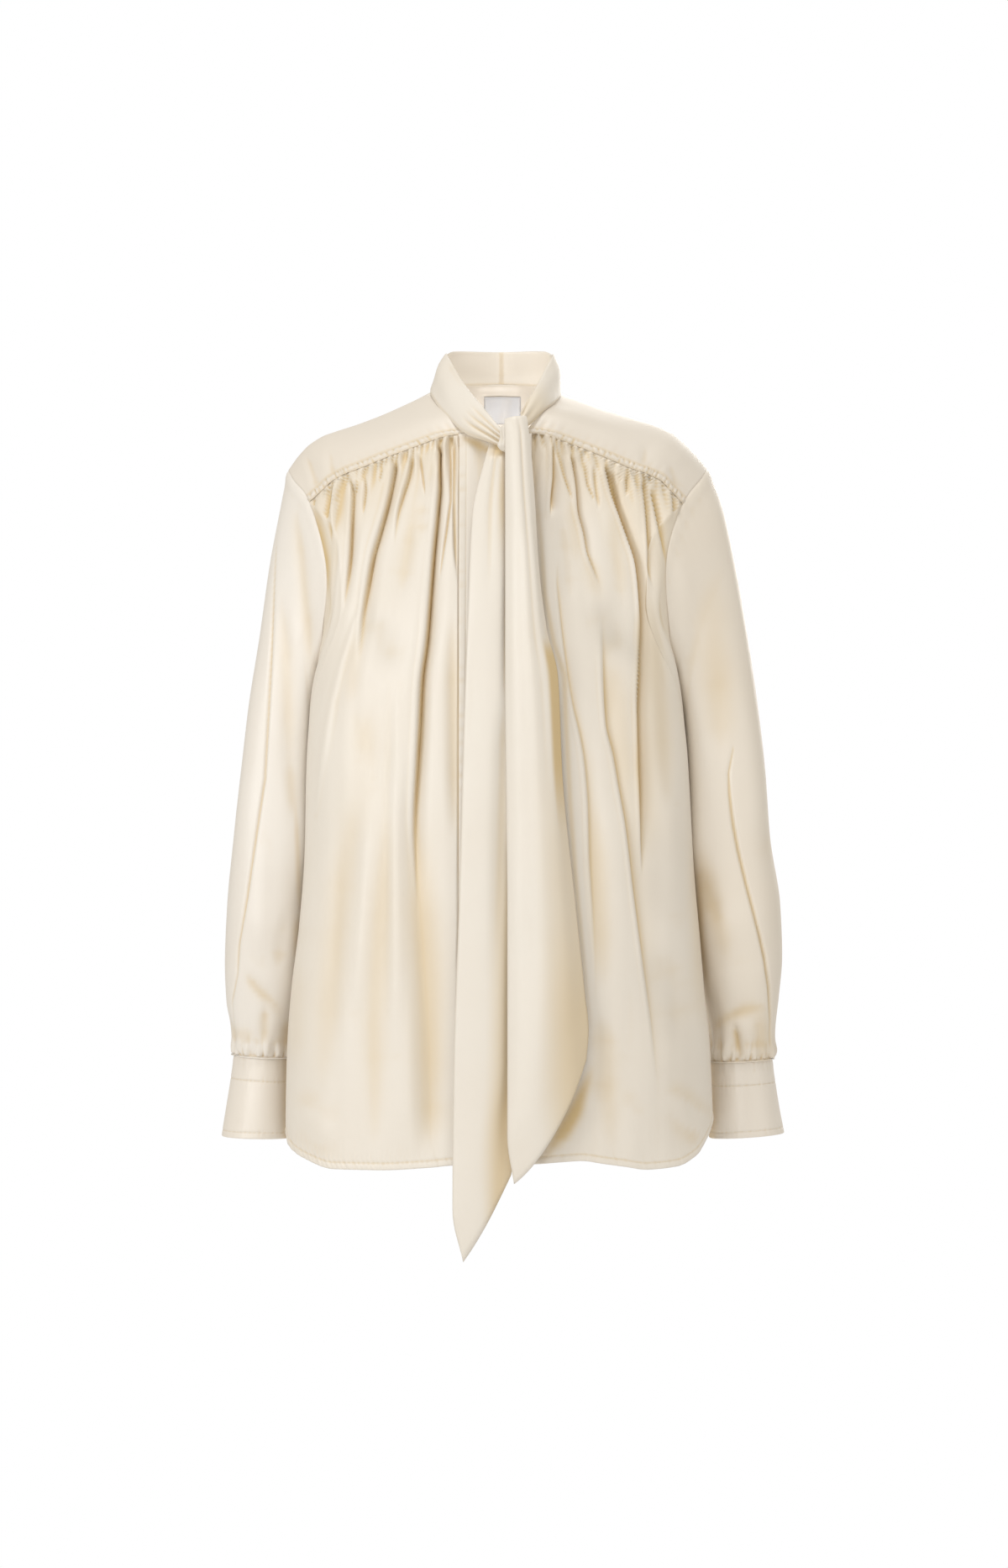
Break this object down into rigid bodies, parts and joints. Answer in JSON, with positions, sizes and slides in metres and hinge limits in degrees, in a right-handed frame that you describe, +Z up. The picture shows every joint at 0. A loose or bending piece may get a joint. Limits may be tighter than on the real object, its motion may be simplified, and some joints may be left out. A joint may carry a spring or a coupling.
{
  "type": "blouse",
  "caption": "Long-sleeved tie-neck blouse of thin satin, worn and empty: gathered fronts and back under a saddle yoke, deep cuffs, long pointed ties.",
  "frame": {"origin": "middle of the neck base at the height of the shoulder points, where the wearer's shoulders hold it", "axes": "+Z up along the body, the front faces -Y, +X to the wearer's left"},
  "size_m": [0.538, 0.2782, 0.859],
  "materials": {
    "yoke_silk": "soft satin",
    "front_right_silk": "soft satin",
    "front_left_silk": "soft satin",
    "back_silk": "soft satin",
    "placket_silk": "soft satin",
    "sleeve_right_silk": "soft satin",
    "sleeve_left_silk": "soft satin",
    "cuff_right_silk": "soft satin",
    "cuff_left_silk": "soft satin",
    "collar_band_silk": "soft satin",
    "knot_silk": "soft satin",
    "tail_over_silk": "soft satin",
    "tail_under_silk": "soft satin",
    "label_silk": "plain weave"
  },
  "bodies": {
    "root": {"yoke": "yoke_silk", "front_right": "front_right_silk", "front_left": "front_left_silk", "back": "back_silk", "placket": "placket_silk", "sleeve_right": "sleeve_right_silk", "sleeve_left": "sleeve_left_silk", "cuff_right": "cuff_right_silk", "cuff_left": "cuff_left_silk", "collar_band": "collar_band_silk", "knot": "knot_silk", "tail_over": "tail_over_silk", "tail_under": "tail_under_silk", "label": "label_silk"}
  },
  "joints": []
}
